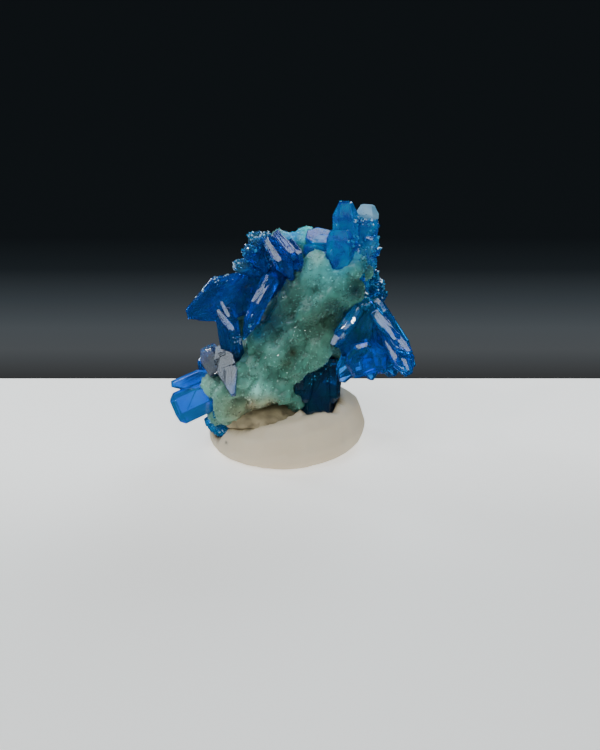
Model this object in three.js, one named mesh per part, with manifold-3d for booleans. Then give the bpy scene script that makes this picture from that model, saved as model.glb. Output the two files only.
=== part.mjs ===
// A thumbnail mineral specimen. A knobbly green crust on a scrap of brown rock carries groups of
// blue tabular crystals round its rim, and a lump of white putty holds it upright.
// Millimetres, +Z up. The origin is the centre of the putty's flat underside, and the specimen's
// face looks along -Y.

import * as THREE from "three";
import { ConvexGeometry } from "three/addons/geometries/ConvexGeometry.js";
import { mergeVertices } from "three/addons/utils/BufferGeometryUtils.js";
import Module from "manifold-3d";

const wasm = await Module();
wasm.setup();

// Driving dimensions
const PUTTY_WIDTH = 12.6;
const PUTTY_DEPTH = 10.8;
const PUTTY_HEIGHT = 4.4;
const GAP = 0.1; // clearance between pieces that touch
const ROOT_GRID = 0.8; // coarseness of the crystals' shared roots
const DENT_GRID = 0.5; // and of the dents that the specimen leaves in the putty
const ROOT_COVER = 0.7; // depth of those roots under the crust's skin
const CRUST_DETAIL = 8; // splits of each edge of the crust's icosahedron
const VIEW_ELEVATION = 23; // degrees above the horizon that the front view looks down from
const VIEW_DISTANCE = 80; // from the origin's upright plane to the eye
const VIEW_AIM = { x: 1.2, rise: 5.4 }; // the middle of the front view
const GLINT = new THREE.Vector3(-0.1, -0.7, 0.72).normalize(); // the way that the glinting faces look
const FRONT = new THREE.Vector3(0, -1, 0.12);

const COLOURS = {
  crystal: { color: 0x1157a8, roughness: 0.15, metalness: 0 },
  crust: { color: 0x6fa892, roughness: 0.55, metalness: 0 },
  rock: { color: 0x7d6748, roughness: 0.85, metalness: 0 },
  putty: { color: 0xcfc9b8, roughness: 0.7, metalness: 0 },
};

// A repeatable stream of numbers between 0 and 1
function dice(seed) {
  let state = seed * 7919 + 17;
  return () => {
    state = (state * 1103515245 + 12345) % 2147483648;
    return state / 2147483648;
  };
}

// Places are given as they show in the front view: x to the right and rise up the view, both
// measured on the plane through the origin that faces the eye, and y the true depth.
const elevation = THREE.MathUtils.degToRad(VIEW_ELEVATION);
const at = (x, y, z) => new THREE.Vector3(x, y, z);
const onViewPlane = (x, rise) =>
  new THREE.Vector3(x, rise * Math.sin(elevation), rise * Math.cos(elevation));
const eye = onViewPlane(VIEW_AIM.x, VIEW_AIM.rise).add(
  new THREE.Vector3(0, -Math.cos(elevation), Math.sin(elevation)).multiplyScalar(VIEW_DISTANCE),
);

function seen(x, rise, y) {
  const ray = onViewPlane(x, rise).sub(eye);
  return eye.clone().addScaledVector(ray, (y - eye.y) / ray.y);
}

// The place that shows at x and rise, on the plane through start with this normal
function levelWith(start, x, rise, normal = GLINT) {
  const ray = onViewPlane(x, rise).sub(eye);
  const share = start.clone().sub(eye).dot(normal) / ray.dot(normal);
  return eye.clone().addScaledVector(ray, share);
}

// A geometry with its corners only, each held once
function bare(geometry) {
  geometry.deleteAttribute("normal");
  geometry.deleteAttribute("uv");
  return mergeVertices(geometry, 1e-4);
}

function solid(geometry) {
  const merged = bare(geometry);
  return new wasm.Manifold(
    new wasm.Mesh({
      numProp: 3,
      vertProperties: merged.attributes.position.array,
      triVerts: new Uint32Array(merged.index.array),
    }),
  );
}

const join = (solids) => wasm.Manifold.union(solids);

// The convex solid round another, its corners snapped outwards to a grid and spread by grow
function wrapped(whole, grid, grow) {
  const corners = whole.getMesh().vertProperties;
  const below = (value) => Math.floor(value / grid) * grid - grow;
  const above = (value) => Math.ceil(value / grid) * grid + grow;
  const points = [];
  for (let i = 0; i < corners.length; i += 3)
    for (const sideX of [below, above])
      for (const sideY of [below, above])
        for (const sideZ of [below, above])
          points.push(at(sideX(corners[i]), sideY(corners[i + 1]), sideZ(corners[i + 2])));
  return solid(new ConvexGeometry(points));
}

// The largest body of a solid that a cut may have left in pieces
const mainBody = (whole) =>
  whole.decompose().reduce((best, body) => (body.volume() > best.volume() ? body : best));

// The directions along a crystal, across its broad face and out of it
function crystalAxes({ root, tip, facing }) {
  const along = tip.clone().sub(root).normalize();
  const across = new THREE.Vector3().crossVectors(facing, along).normalize();
  return { along, across, outward: new THREE.Vector3().crossVectors(along, across) };
}

// A flat crystal: a long outline with a blunt point, with bevelled rims. base is the width of its
// root as a share of the whole, point the point's length in widths, blunt the width of its end,
// skew its lean to one side, and rim the share of the thickness that the bevels take.
function blade(crystal, grow) {
  const { root, tip, width, thick } = crystal;
  const { base = 0.75, point = 0.5, blunt = 0.35, skew = 0, rim = 0.3 } = crystal;
  const half = width / 2 + grow;
  const reach = root.distanceTo(tip) + grow;
  const shoulder = Math.max(reach - point * width, 0.2 * reach);
  const outline = new THREE.Shape([
    new THREE.Vector2(-grow, -base * half),
    new THREE.Vector2(shoulder, -half),
    new THREE.Vector2(reach, (skew - blunt) * half),
    new THREE.Vector2(reach, (skew + blunt) * half),
    new THREE.Vector2(shoulder, half),
    new THREE.Vector2(-grow, base * half),
  ]);
  const bevel = Math.min(rim * thick, 0.3 * half, 0.6 * blunt * half);
  const depth = thick + 2 * grow - 2 * bevel;
  const geometry = new THREE.ExtrudeGeometry(outline, {
    depth,
    bevelEnabled: bevel > 0,
    bevelThickness: bevel,
    bevelSize: bevel,
    bevelOffset: -bevel,
    bevelSegments: 1,
  });
  geometry.translate(0, 0, -depth / 2);
  const { along, across, outward } = crystalAxes(crystal);
  return geometry.applyMatrix4(
    new THREE.Matrix4().makeBasis(along, across, outward).setPosition(root),
  );
}

// A stout crystal with six sides. ridge is the width of its front and back faces as a share of the
// whole, cap the length of the bevelled end in widths, taper how far that end draws in, and slant
// how much one side of the end stands ahead.
function prism(crystal, grow) {
  const { root, tip, width, thick } = crystal;
  const { ridge = 0.55, cap = 0.3, taper = 0.28, slant = 0 } = crystal;
  const a = width / 2 + grow;
  const b = thick / 2 + grow;
  const section = new THREE.Shape([
    new THREE.Vector2(a, 0),
    new THREE.Vector2(ridge * a, b),
    new THREE.Vector2(-ridge * a, b),
    new THREE.Vector2(-a, 0),
    new THREE.Vector2(-ridge * a, -b),
    new THREE.Vector2(ridge * a, -b),
  ]);
  const length = root.distanceTo(tip) + 2 * grow;
  const end = Math.min(cap * width, 0.4 * length);
  const drawIn = taper * Math.min(a, b);
  const geometry = new THREE.ExtrudeGeometry(section, {
    depth: length - 2 * end,
    bevelThickness: end,
    bevelSize: drawIn,
    bevelOffset: -drawIn,
    bevelSegments: 1,
  });
  geometry.translate(0, 0, end - grow);
  const place = geometry.getAttribute("position");
  for (let i = 0; i < place.count; i++)
    if (place.getZ(i) > length / 2) place.setZ(i, place.getZ(i) + slant * place.getX(i));
  const { along, across, outward } = crystalAxes(crystal);
  return geometry.applyMatrix4(
    new THREE.Matrix4().makeBasis(across, outward, along).setPosition(root),
  );
}

// Parallel growth: copies of a crystal one behind the other, spaced through its thickness, each a
// step further aside and a little shorter and narrower by chance.
function book(crystal, { leaves, spacing, seed, step = 0, uneven = 0.3 }) {
  const roll = dice(seed);
  const { along, across, outward } = crystalAxes(crystal);
  const length = crystal.root.distanceTo(crystal.tip);
  const behind = Array.from({ length: leaves - 1 }, (_, i) => {
    const shift = outward
      .clone()
      .multiplyScalar(-(i + 1) * spacing)
      .addScaledVector(across, (i + 1) * step + (roll() - 0.5) * uneven * crystal.width);
    return {
      ...crystal,
      root: crystal.root.clone().add(shift),
      tip: crystal.tip.clone().add(shift).addScaledVector(along, -uneven * length * (roll() - 0.25)),
      width: crystal.width * (1 - uneven * roll()),
      skew: (crystal.skew ?? 0) + (roll() - 0.5) * uneven,
      rim: 0,
    };
  });
  return [crystal, ...behind];
}

const grownTogether = (group, grow) =>
  join(group.map((crystal) => solid((crystal.shape ?? blade)(crystal, grow))));

// Crystals of the front, by group
const topPrism = [
  {
    shape: prism, root: seen(4.9, 13.2, -0.6), tip: seen(4.95, 19.6, -0.3),
    width: 1.95, thick: 1.7, facing: FRONT, cap: 0.5, taper: 0.5,
  },
  {
    shape: prism, root: seen(4.55, 14.1, -2.3), tip: seen(4.5, 17.3, -1.8),
    width: 2.1, thick: 1.5, facing: FRONT, cap: 0.35, taper: 0.35,
  },
  {
    shape: prism, root: seen(5.5, 14.8, -1.2), tip: seen(5.5, 16.3, -1.3),
    width: 1.3, thick: 1.1, facing: at(0.4, -1, 0.2), cap: 0.3, taper: 0.4,
  },
];

const topRim = [
  {
    shape: prism, root: seen(6.5, 15.0, 0.9), tip: seen(6.75, 19.3, 1.0),
    width: 1.7, thick: 1.2, facing: GLINT, cap: 0.35, taper: 0.5,
  },
  ...[
    [6.2, 14.0, 6.75, 18.1, 0.2, 1.8],
    [6.3, 13.8, 7.1, 16.9, -0.2, 1.3],
    [6.1, 13.0, 7.0, 15.2, -0.3, 1.3],
    [6.4, 16.2, 7.4, 17.9, 0.6, 0.9],
    [6.2, 14.4, 7.5, 15.9, 0.2, 1.0],
  ].map(([x, rise, tipX, tipRise, y, width], i) => ({
    shape: prism, root: seen(x, rise, y + 0.3), tip: seen(tipX, tipRise, y),
    width, thick: 1.0, facing: i % 2 ? GLINT : FRONT, cap: 0.2, taper: 0.35,
  })),
];

const rightRim = [
  [7.3, 14.0, 0.5, 1.0, GLINT],
  [7.9, 13.1, 0.2, 1.1, FRONT],
  [8.2, 12.2, 0.1, 1.0, GLINT],
].map(([x, rise, y, width, facing]) => ({
  root: seen(6.2, 11.0, 0.7), tip: seen(x, rise, y),
  width, thick: 0.65, facing, rim: 0,
}));

const longEdge = seen(7.2, 10.6, -1.2);
const longLower = seen(8.5, 8.5, -2.1);
const lightPlate = seen(6.35, 10.7, -2.1);
const smallPlate = seen(8.2, 10.5, -1.5);
const rightFan = [
  // The long blade that catches the light, its lower half and the darker leaves behind it
  {
    root: longEdge, tip: levelWith(longEdge, 10.1, 7.0),
    width: 1.1, thick: 0.5, facing: GLINT, point: 0.8, skew: 0.4,
  },
  {
    root: longLower, tip: levelWith(longLower, 10.3, 5.5),
    width: 1.8, thick: 0.6, facing: GLINT, point: 0.6, skew: -0.2,
  },
  ...book(
    {
      root: seen(7.0, 11.6, -0.3), tip: seen(10.3, 5.9, -2.4),
      width: 2.2, thick: 0.4, facing: at(0.35, -0.7, 0.6), point: 0.9, skew: 0.1,
    },
    { leaves: 2, spacing: 0.5, step: 0.15, seed: 5 },
  ),
  // The block below the root, and the narrow leaves at its left
  {
    root: seen(6.4, 11.2, -0.7), tip: seen(5.3, 6.6, -2.3),
    width: 2.2, thick: 1.1, facing: at(0.3, -1, 0.2), rim: 0,
  },
  ...book(
    {
      root: seen(6.1, 11.0, -1.5), tip: seen(3.9, 7.8, -2.9),
      width: 1.1, thick: 0.35, facing: at(-0.25, -0.7, 0.7), point: 0.9, rim: 0,
    },
    { leaves: 2, spacing: 0.4, step: -0.15, seed: 11 },
  ),
  {
    root: seen(6.0, 10.9, -2.2), tip: seen(4.8, 9.0, -3.1),
    width: 0.9, thick: 0.5, facing: at(-0.2, -0.7, 0.7), point: 0.7, rim: 0,
  },
  // The thick crystal in front, which stands on its head with its roof turned up
  {
    root: seen(6.9, 5.6, -3.1), tip: seen(6.2, 8.1, -2.8),
    width: 3.3, thick: 1.4, facing: at(0, -1, 0.1), point: 0.35, blunt: 0.3, rim: 0.4,
  },
  // The teeth along the lower edge
  ...[
    [6.0, 9.0, 4.65, 4.8, 1.4],
    [6.8, 9.0, 7.0, 5.0, 1.2],
    [7.1, 9.2, 7.9, 5.5, 1.3],
    [7.3, 9.4, 8.8, 5.3, 1.4],
  ].map(([x, rise, tipX, tipRise, width], i) => ({
    root: seen(x, rise, -0.6 - 0.3 * (i % 2)), tip: seen(tipX, tipRise, -2.0),
    width, thick: 0.8, facing: at(0.3 * (tipX - 6.2), -1, -0.1), point: 0.6, blunt: 0.2, rim: 0,
  })),
  // The small plates that face the light above the block
  {
    root: lightPlate, tip: levelWith(lightPlate, 6.1, 12.3),
    width: 1.25, thick: 0.7, facing: GLINT, point: 0.4, blunt: 0.5,
  },
  {
    root: smallPlate, tip: levelWith(smallPlate, 7.0, 11.9),
    width: 0.6, thick: 0.5, facing: GLINT, rim: 0,
  },
];

const baseCrystal = [
  {
    shape: prism, root: seen(2.5, 6.2, -0.6), tip: seen(2.6, 1.6, -1.7),
    width: 2.9, thick: 2.0, facing: at(0.2, -1, 0.1), cap: 0.15, taper: 0.2,
  },
  {
    shape: prism, root: seen(3.8, 6.8, -0.4), tip: seen(3.7, 3.2, -1.2),
    width: 1.5, thick: 1.5, facing: FRONT,
  },
  {
    shape: prism, root: seen(2.0, 5.8, -1.6), tip: seen(1.6, 3.2, -2.1),
    width: 1.0, thick: 1.0, facing: FRONT,
  },
];

// A thin plate stood on edge: its narrow side faces the light, and its end points down the view
function edgeOn(x, rise, tipX, tipRise, y, narrow, thick = 1.5) {
  const root = seen(x, rise, y);
  const tip = levelWith(root, tipX, tipRise);
  return { root, tip, width: narrow, thick, facing: GLINT, rim: 0, point: 0.6, blunt: 0.7 };
}

const leftBlade = book(
  {
    root: seen(-1.2, 12.9, -0.7), tip: seen(-8.2, 10.75, -2.0),
    width: 3.5, thick: 0.5, facing: at(-0.15, -1, 0.1), point: 0.75, blunt: 0.2, skew: 0.2,
  },
  { leaves: 2, spacing: 0.5, step: 0.1, seed: 4, uneven: 0.06 },
);

const upperLeft = [
  edgeOn(-1.5, 16.1, -0.35, 14.3, -1.7, 0.5),
  edgeOn(-0.75, 16.9, 0.7, 15.1, -1.7, 0.6, 1.0),
  edgeOn(0.4, 16.1, 1.3, 14.9, -1.6, 0.5),
  {
    root: seen(-0.9, 16.2, -1.1), tip: seen(0.6, 13.2, -2.4),
    width: 1.3, thick: 0.6, facing: at(0.3, -1, -0.1), point: 0.9, blunt: 0.15,
  },
  {
    root: seen(-0.1, 16.2, -0.8), tip: seen(1.45, 13.8, -2.1),
    width: 1.1, thick: 0.5, facing: at(0.2, -1, 0), point: 0.9, blunt: 0.15,
  },
  ...book(
    {
      root: seen(-1.2, 13.9, -0.6), tip: seen(-2.6, 17.1, -0.9),
      width: 1.6, thick: 0.5, facing: at(-0.4, -0.8, 0.2), blunt: 0.6,
    },
    { leaves: 2, spacing: 0.5, seed: 31 },
  ),
  ...book(
    {
      root: seen(-1.4, 13.7, -0.5), tip: seen(-4.3, 14.5, -1.2),
      width: 1.3, thick: 0.45, facing: at(-0.3, -0.8, 0.5),
    },
    { leaves: 2, spacing: 0.4, seed: 34 },
  ),
  ...book(
    {
      root: seen(-1.3, 14.0, -0.8), tip: seen(-3.35, 15.9, -1.3),
      width: 1.3, thick: 0.5, facing: GLINT, blunt: 0.5,
    },
    { leaves: 2, spacing: 0.55, seed: 36 },
  ),
  {
    root: seen(-0.9, 14.6, -0.9), tip: seen(-1.7, 17.0, -1.3),
    width: 1.1, thick: 0.7, facing: FRONT, blunt: 0.6, rim: 0,
  },
  {
    shape: prism, root: seen(-1.2, 14.6, 0.3), tip: seen(-1.5, 16.7, 0.3),
    width: 1.4, thick: 1.1, facing: FRONT,
  },
  {
    shape: prism, root: seen(-0.6, 14.6, 0.2), tip: seen(-0.7, 16.6, 0.2),
    width: 1.2, thick: 1.1, facing: FRONT,
  },
];

const ridgeRoot = seen(4.0, 16.6, -1.3);
const ridge = [
  ...book(
    {
      root: ridgeRoot, tip: levelWith(ridgeRoot, 1.7, 16.9),
      width: 1.5, thick: 0.3, facing: GLINT, blunt: 0.5,
    },
    { leaves: 2, spacing: 0.35, seed: 41, uneven: 0.35 },
  ),
  {
    root: seen(3.8, 15.3, -0.9), tip: seen(1.5, 15.7, -1.3),
    width: 1.5, thick: 0.8, facing: at(0, -1, -0.2),
  },
];

const slantedRoot = seen(-0.9, 13.7, -1.9);
const slantedBlade = [
  {
    shape: prism, root: slantedRoot, tip: levelWith(slantedRoot, -2.7, 10.5),
    width: 1.3, thick: 1.2, facing: GLINT, ridge: 0.5, cap: 0.4, taper: 0.5,
  },
  {
    shape: prism, root: seen(-1.5, 12.9, -2.0), tip: seen(-3.4, 8.4, -4.2),
    width: 1.35, thick: 1.1, facing: at(-0.5, -0.85, 0.3), ridge: 0.35, cap: 1.1, taper: 0.75,
  },
];

const leftPrism = [
  {
    shape: prism, root: seen(-4.3, 6.3, -1.4), tip: seen(-5.1, 10.6, -3.1),
    width: 1.5, thick: 1.2, facing: at(-0.35, -0.9, 0.3), cap: 0.25, taper: 0.35, slant: -0.6,
  },
  {
    shape: prism, root: seen(-3.9, 6.5, -1.3), tip: seen(-4.7, 11.1, -2.7),
    width: 1.1, thick: 0.9, facing: at(-0.2, -0.9, 0.4), cap: 0.25, taper: 0.35, slant: -0.6,
  },
  edgeOn(-5.2, 11.25, -4.55, 10.0, -3.1, 0.35, 0.7),
  edgeOn(-5.5, 10.6, -4.2, 8.9, -3.4, 0.4, 0.7),
];

const steppedMiddle = seen(-4.8, 6.0, -3.4);
const steppedLook = { width: 1.5, thick: 0.4, facing: GLINT, base: 1, rim: 0 };
const greyFacing = at(-0.25, -0.8, 0.6);
const grey = seen(-5.4, 5.5, -2.6);
const steppedPlate = [
  {
    ...steppedLook, root: steppedMiddle, tip: levelWith(steppedMiddle, -5.4, 7.75),
    point: 0.7, blunt: 0.4,
  },
  {
    ...steppedLook, root: steppedMiddle, tip: levelWith(steppedMiddle, -4.25, 3.7),
    point: 1.4, blunt: 0.2,
  },
  {
    root: seen(-4.4, 5.2, -2.9), tip: seen(-5.2, 7.2, -2.6),
    width: 1.5, thick: 0.5, facing: GLINT,
  },
  {
    root: grey, tip: levelWith(grey, -6.35, 7.7, greyFacing),
    width: 1.9, thick: 0.6, facing: greyFacing, blunt: 0.6, rim: 0,
  },
];

const lowerLeft = [
  {
    shape: prism, root: seen(-4.8, 4.5, -0.6), tip: seen(-9.05, 2.5, -1.4),
    width: 2.8, thick: 2.2, facing: at(-0.1, -0.8, 0.62), cap: 0.14, taper: 0.3, ridge: 0.6,
  },
  {
    root: seen(-4.6, 5.0, 0.5), tip: seen(-9.35, 4.75, -0.3),
    width: 1.9, thick: 1.6, facing: at(0, -1, 0.4), point: 1.1, blunt: 0.25, skew: 0.1,
  },
];

const foot = [
  [-6.6, 1.5, -1.3, 0.9],
  [-6.2, 0.9, -1.6, 0.8],
  [-5.6, 0.45, -1.8, 0.9],
  [-4.9, 0.35, -2.0, 0.8],
].map(([x, rise, y, width]) => ({
  shape: prism, root: seen(-4.9, 2.0, -0.9), tip: seen(x, rise, y), width, thick: 0.7, facing: FRONT,
}));

// Crystals of the back and sides, by group, in true x, y and z
const BACK = at(0, 1, 0.15);
const backTop = [
  [-0.6, 5.0, 14.9, 1.5],
  [1.1, 6.1, 13.6, 1.2],
  [3.0, 5.4, 15.7, 1.7],
  [3.0, 6.0, 11.2, 1.5],
].map(([x, y, z, width], i) => ({
  shape: prism, root: at(2.0, 1.8, 12.4), tip: at(x, y, z),
  width, thick: 0.8, facing: at(0.2 * (i - 2), 0.4, 1), cap: 0.4, taper: 0.5,
}));
const backBlade = book(
  {
    root: at(-2.0, 2.0, 9.6), tip: at(-5.5, 4.8, 10.8),
    width: 2.6, thick: 0.5, facing: at(-0.2, 1, 0.2), point: 0.8,
  },
  { leaves: 2, spacing: 0.6, step: -0.3, seed: 71, uneven: 0.2 },
);
const backPrism = [
  [7.6, 4.2, 7.8, 1.9],
  [7.2, 4.6, 10.6, 1.5],
  [4.8, 6.0, 8.6, 1.3],
].map(([x, y, z, width]) => ({
  shape: prism, root: at(3.9, 1.6, 9.4), tip: at(x, y, z), width, thick: 0.8 * width, facing: BACK,
}));
const backLow = [
  {
    shape: prism, root: at(-3.4, 1.4, 5.0), tip: at(-7.0, 4.0, 5.4),
    width: 1.8, thick: 1.5, facing: BACK,
  },
  ...book(
    {
      root: at(-2.2, 1.6, 5.4), tip: at(-3.4, 5.2, 7.8),
      width: 1.8, thick: 0.5, facing: at(-0.6, 0.8, -0.4),
    },
    { leaves: 2, spacing: 0.5, step: 0.2, seed: 81 },
  ),
];

const crystalGroups = {
  upper_left_crystals: [...leftBlade, ...upperLeft],
  right_fan_crystals: [...rightFan, ...rightRim],
  top_crystals: [...topPrism, ...ridge, ...topRim],
  slanted_blade: slantedBlade,
  base_crystal: baseCrystal,
  left_prisms: [...leftPrism, ...steppedPlate],
  lower_left_prism: lowerLeft,
  foot_crystals: foot,
  back_top_crystals: backTop,
  back_blade: backBlade,
  back_prisms: backPrism,
  back_low_crystals: backLow,
};

// A knobbly ball: an icosahedron split detail times, its corners pushed in and out by chance
function knob(centre, radii, seed, detail = 2, rough = 0.07) {
  const roll = dice(seed);
  const ball = bare(new THREE.IcosahedronGeometry(1, detail));
  const place = ball.getAttribute("position");
  const corner = new THREE.Vector3();
  for (let i = 0; i < place.count; i++) {
    corner.fromBufferAttribute(place, i).multiplyScalar(1 + rough * (2 * roll() - 1));
    place.setXYZ(i, ...corner);
  }
  ball.scale(...radii).translate(...centre);
  return solid(ball);
}

// The green crust: a leaning body, the nodules that show on its face, and nodules by rule over its back
const crustBody = [
  [seen(-3.4, 4.2, 0.2), [2.9, 2.5, 2.2]],
  [seen(-0.8, 6.6, 0.4), [3.9, 2.9, 3.1]],
  [seen(0.9, 9.8, 0.4), [4.1, 2.9, 3.4]],
  [seen(3.3, 13.2, 0.6), [3.6, 2.7, 2.7]],
  [seen(-2.4, 11.0, 1.4), [2.6, 2.4, 3.0]],
  [seen(4.7, 9.6, 1.4), [2.4, 2.4, 3.2]],
  [seen(0.8, 14.9, 0.9), [1.9, 1.6, 1.5]],
];
const CRUST_SPINE = [seen(-2.8, 4.6, 0.4), seen(3.2, 13.4, 0.4)];
const faceNodules = [
  [2.7, 14.1, -1.7, 1.35],
  [4.3, 13.2, -2.0, 1.3],
  [5.9, 13.9, -1.3, 1.1],
  [3.4, 11.6, -2.3, 1.1],
  [2.0, 10.7, -2.5, 1.0],
  [5.3, 11.9, -1.7, 0.9],
  [5.6, 14.8, -1.6, 1.0],
  [1.2, 12.7, -2.0, 0.9],
  [0.6, 9.0, -2.3, 1.0],
  [3.1, 8.9, -2.0, 0.9],
  [2.6, 7.3, -2.1, 1.1],
  [-0.8, 7.3, -2.6, 1.1],
  [0.8, 6.2, -2.3, 1.0],
  [-2.2, 4.0, -2.7, 1.1],
  [-0.4, 4.1, -2.4, 1.0],
  [0.9, 3.9, -1.9, 0.9],
  [-3.6, 5.7, -2.1, 1.0],
  [-6.2, 4.7, -2.2, 0.75],
  [-5.0, 4.0, -2.7, 1.0],
  [-4.7, 2.7, -1.7, 1.3],
  [-5.5, 2.0, -1.2, 0.9],
  [-2.4, 6.2, -2.3, 0.9],
  [-2.0, 8.5, -2.2, 1.1],
  [-0.6, 9.9, -2.0, 0.9],
  [0.2, 11.5, -1.9, 0.9],
  [1.3, 3.1, -1.5, 0.8],
  [1.0, 16.2, 0.0, 0.85],
  [1.8, 16.5, 0.2, 0.85],
];
const backNodules = crustBody.flatMap(([centre, radii], body) =>
  Array.from({ length: 5 }, (_, i) => {
    const turn = 2.4 * i + body;
    const lift = -0.7 + 0.36 * i;
    const level = Math.sqrt(1 - lift * lift);
    const place = at(level * Math.cos(turn), Math.abs(level * Math.sin(turn)), lift);
    return [place.multiply(at(...radii)).multiplyScalar(0.92).add(centre), 0.9 + 0.25 * (i % 3)];
  }),
);
const even = (radius) => [radius, radius, radius];
const crustLumps = [
  ...crustBody,
  ...faceNodules.map(([x, rise, y, radius]) => [seen(x, rise, y), even(radius)]),
  ...backNodules.map(([centre, radius]) => [centre, even(radius)]),
];

// How far a ray runs from a point inside the crust before it leaves the last lump
function leaving(start, ray, lumps) {
  let farthest = 0;
  for (const [centre, radii] of lumps) {
    const size = at(...radii);
    const offset = start.clone().sub(centre).divide(size);
    const pace = ray.clone().divide(size);
    const [a, b, c] = [pace.dot(pace), offset.dot(pace), offset.dot(offset) - 1];
    if (b * b > a * c) farthest = Math.max(farthest, (Math.sqrt(b * b - a * c) - b) / a);
  }
  return farthest;
}

// A skin round all the lumps: the corners of a ball sent out from the crust's leaning spine
function greenCrust(grow) {
  const ball = bare(new THREE.IcosahedronGeometry(1, CRUST_DETAIL));
  const place = ball.getAttribute("position");
  const [low, high] = CRUST_SPINE;
  const ray = new THREE.Vector3();
  for (let i = 0; i < place.count; i++) {
    ray.fromBufferAttribute(place, i);
    const start = low.clone().lerp(high, (1 + ray.z) / 2);
    place.setXYZ(i, ...start.addScaledVector(ray, leaving(start, ray, crustLumps) + grow));
  }
  return solid(ball);
}

// The scrap of brown rock under the crust
const matrixRock = (grow) =>
  knob(seen(-2.0, 2.0, -1.1), [3.2 + grow, 2.3 + grow, 1.15 + grow], 400, 1, 0.06);

// The putty: a squashed lump on a flat underside, thin at its left end and heaped up at its back right
function puttyLump() {
  const outline = [[0, 0], [0.86, 0], [0.96, 0.12], [1, 0.34], [0.92, 0.7], [0.74, 0.92], [0, 1]];
  const profile = outline.map(([r, z]) => new THREE.Vector2(r, z));
  const lump = new THREE.LatheGeometry(profile, 24).rotateX(Math.PI / 2);
  const place = lump.getAttribute("position");
  for (let i = 0; i < place.count; i++) {
    const [x, y, z] = [place.getX(i), place.getY(i), place.getZ(i)];
    const heap = 0.84 + 0.28 * x;
    const wobble = 1 + 0.03 * Math.sin(3 * Math.atan2(y, x) + 0.6);
    const aside = (x * wobble * PUTTY_WIDTH) / 2;
    const back = (y * wobble * PUTTY_DEPTH) / 2;
    place.setXYZ(i, aside, back, z * heap * PUTTY_HEIGHT);
  }
  return solid(lump);
}

// The crystals of a group share one root, sunk under the crust's skin. A group is cut back from the
// groups before it, and the crust, rock and putty make room for them all.
const underSkin = greenCrust(-ROOT_COVER);
const crystals = {};
let taken = join([]);
for (const [name, group] of Object.entries(crystalGroups)) {
  const grown = grownTogether(group, 0);
  const root = grown.intersect(underSkin);
  crystals[name] = mainBody(grown.add(wrapped(root, ROOT_GRID, 0)).subtract(taken));
  taken = join([taken, grownTogether(group, GAP), wrapped(root, ROOT_GRID, GAP)]);
}
const rock = mainBody(matrixRock(0).subtract(taken));
const crust = mainBody(greenCrust(0).subtract(matrixRock(GAP)).subtract(taken));
const lump = puttyLump();
const dents = [rock, crust, crystals.base_crystal, crystals.foot_crystals].map((piece) =>
  wrapped(piece.intersect(lump), DENT_GRID, GAP / 2),
);
const putty = mainBody(lump.subtract(join(dents)));

function mesh(name, whole, look) {
  const { vertProperties, triVerts, numProp } = whole.getMesh();
  const geometry = new THREE.BufferGeometry();
  geometry.setAttribute("position", new THREE.BufferAttribute(vertProperties, numProp));
  geometry.setIndex(new THREE.BufferAttribute(triVerts, 1));
  geometry.computeVertexNormals();
  const finish = new THREE.MeshStandardMaterial({ ...COLOURS[look], flatShading: true });
  const made = new THREE.Mesh(geometry, finish);
  made.name = name;
  return made;
}

const specimen = new THREE.Group();
specimen.add(mesh("mounting_putty", putty, "putty"));
specimen.add(mesh("matrix_rock", rock, "rock"));
specimen.add(mesh("green_crust", crust, "crust"));
for (const [name, whole] of Object.entries(crystals)) specimen.add(mesh(name, whole, "crystal"));

export default specimen;
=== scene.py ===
"""The looks of a thumbnail mineral specimen: blue crystals round a knobbly green crust, set in white putty.

Fine shapes are worked in millimetres and stored in metres. The front view's plane goes through the origin and
faces the camera: x runs right along it and rise runs up it, both in millimetres.
"""

import math
import random

import bmesh
import bpy
import numpy as np
from mathutils import Matrix, Vector, noise
from mathutils.bvhtree import BVHTree


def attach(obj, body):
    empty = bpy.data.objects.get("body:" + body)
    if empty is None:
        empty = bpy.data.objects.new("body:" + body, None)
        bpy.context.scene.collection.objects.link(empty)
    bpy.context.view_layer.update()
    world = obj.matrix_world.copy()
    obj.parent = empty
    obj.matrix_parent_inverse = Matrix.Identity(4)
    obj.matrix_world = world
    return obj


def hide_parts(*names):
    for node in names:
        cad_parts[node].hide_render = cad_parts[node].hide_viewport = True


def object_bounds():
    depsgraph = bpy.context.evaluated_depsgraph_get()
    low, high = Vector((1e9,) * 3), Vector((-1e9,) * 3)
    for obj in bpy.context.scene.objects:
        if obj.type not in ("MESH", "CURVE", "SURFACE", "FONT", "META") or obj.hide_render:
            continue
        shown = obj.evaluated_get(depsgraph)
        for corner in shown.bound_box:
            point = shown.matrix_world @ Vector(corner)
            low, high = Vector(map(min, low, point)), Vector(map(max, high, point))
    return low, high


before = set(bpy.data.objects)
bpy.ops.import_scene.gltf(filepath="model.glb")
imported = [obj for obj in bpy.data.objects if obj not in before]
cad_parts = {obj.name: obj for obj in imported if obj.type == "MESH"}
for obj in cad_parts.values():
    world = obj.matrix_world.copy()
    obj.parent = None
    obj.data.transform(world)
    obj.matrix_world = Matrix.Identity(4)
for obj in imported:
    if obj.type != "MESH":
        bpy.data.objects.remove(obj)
CAD_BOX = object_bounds()

MM = 0.001
VIEW_ELEVATION = math.radians(23)
VIEW_DISTANCE = 80  # mm from the view plane's aim to the eye
VIEW_AIM = (1.2, 5.4)  # mm, x and rise at the picture's middle
PICTURE_WIDTH = 600 / 12.2  # mm that the picture spans on the view plane
SENSOR_WIDTH = 36  # mm

CRUST_VOXEL = 0.11  # mm, as are the other sizes here
CRUST_SWELL = 0.1  # what the crust closes in on the crystals
KNOB_SIZE = 0.95
KNOB_HEIGHT = 0.27
GRIT_SIZE = 0.32
GRIT_HEIGHT = 0.06
CRUST_ROUNDS = 4  # of smoothing

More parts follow.
